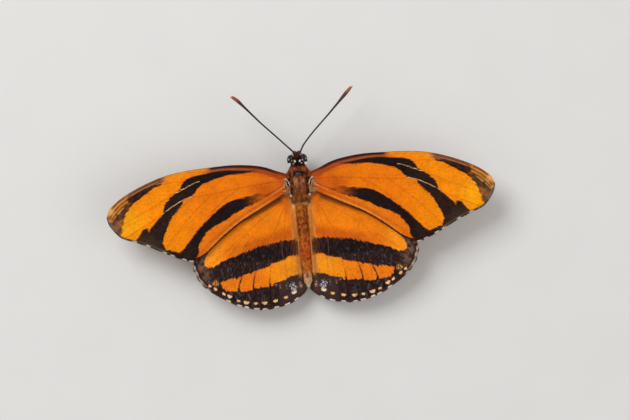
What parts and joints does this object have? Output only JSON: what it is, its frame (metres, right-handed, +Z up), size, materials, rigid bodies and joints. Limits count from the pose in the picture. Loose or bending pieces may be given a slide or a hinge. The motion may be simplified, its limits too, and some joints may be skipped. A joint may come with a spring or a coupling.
{
  "type": "banded orange heliconian butterfly",
  "caption": "Life-size still model of an orange butterfly with black bands, standing with its wings spread flat and its clubbed feelers forward.",
  "frame": {"origin": "on the plane the feet stand on, midway between the wing tips and midway between the antenna tips and the hind margins of the wings", "axes": "+Y towards the head, +X along the right wings, +Z up"},
  "size_m": [0.0886, 0.0495, 0.0105],
  "materials": {
    "body_scales": "matte, short fur and scales",
    "wing_scales": "satin scales, orange with black bands",
    "eyes": "glossy, finely faceted",
    "horn": "satin",
    "legs": "satin with short scales"
  },
  "bodies": {
    "root": {"head": "body_scales", "prothorax": "body_scales", "thorax": "body_scales", "abdomen": "body_scales", "palp_left": "body_scales", "palp_right": "body_scales", "eye_left": "eyes", "eye_right": "eyes", "proboscis": "horn", "antenna_left": "horn", "antenna_right": "horn", "forewing_left": "wing_scales", "forewing_right": "wing_scales", "hindwing_left": "wing_scales", "hindwing_right": "wing_scales", "foreleg_left": "legs", "foreleg_right": "legs", "midleg_femur_left": "legs", "midleg_femur_right": "legs", "midleg_tibia_left": "legs", "midleg_tibia_right": "legs", "midleg_tarsus_left": "legs", "midleg_tarsus_right": "legs", "hindleg_femur_left": "legs", "hindleg_femur_right": "legs", "hindleg_tibia_left": "legs", "hindleg_tibia_right": "legs", "hindleg_tarsus_left": "legs", "hindleg_tarsus_right": "legs"}
  },
  "joints": []
}
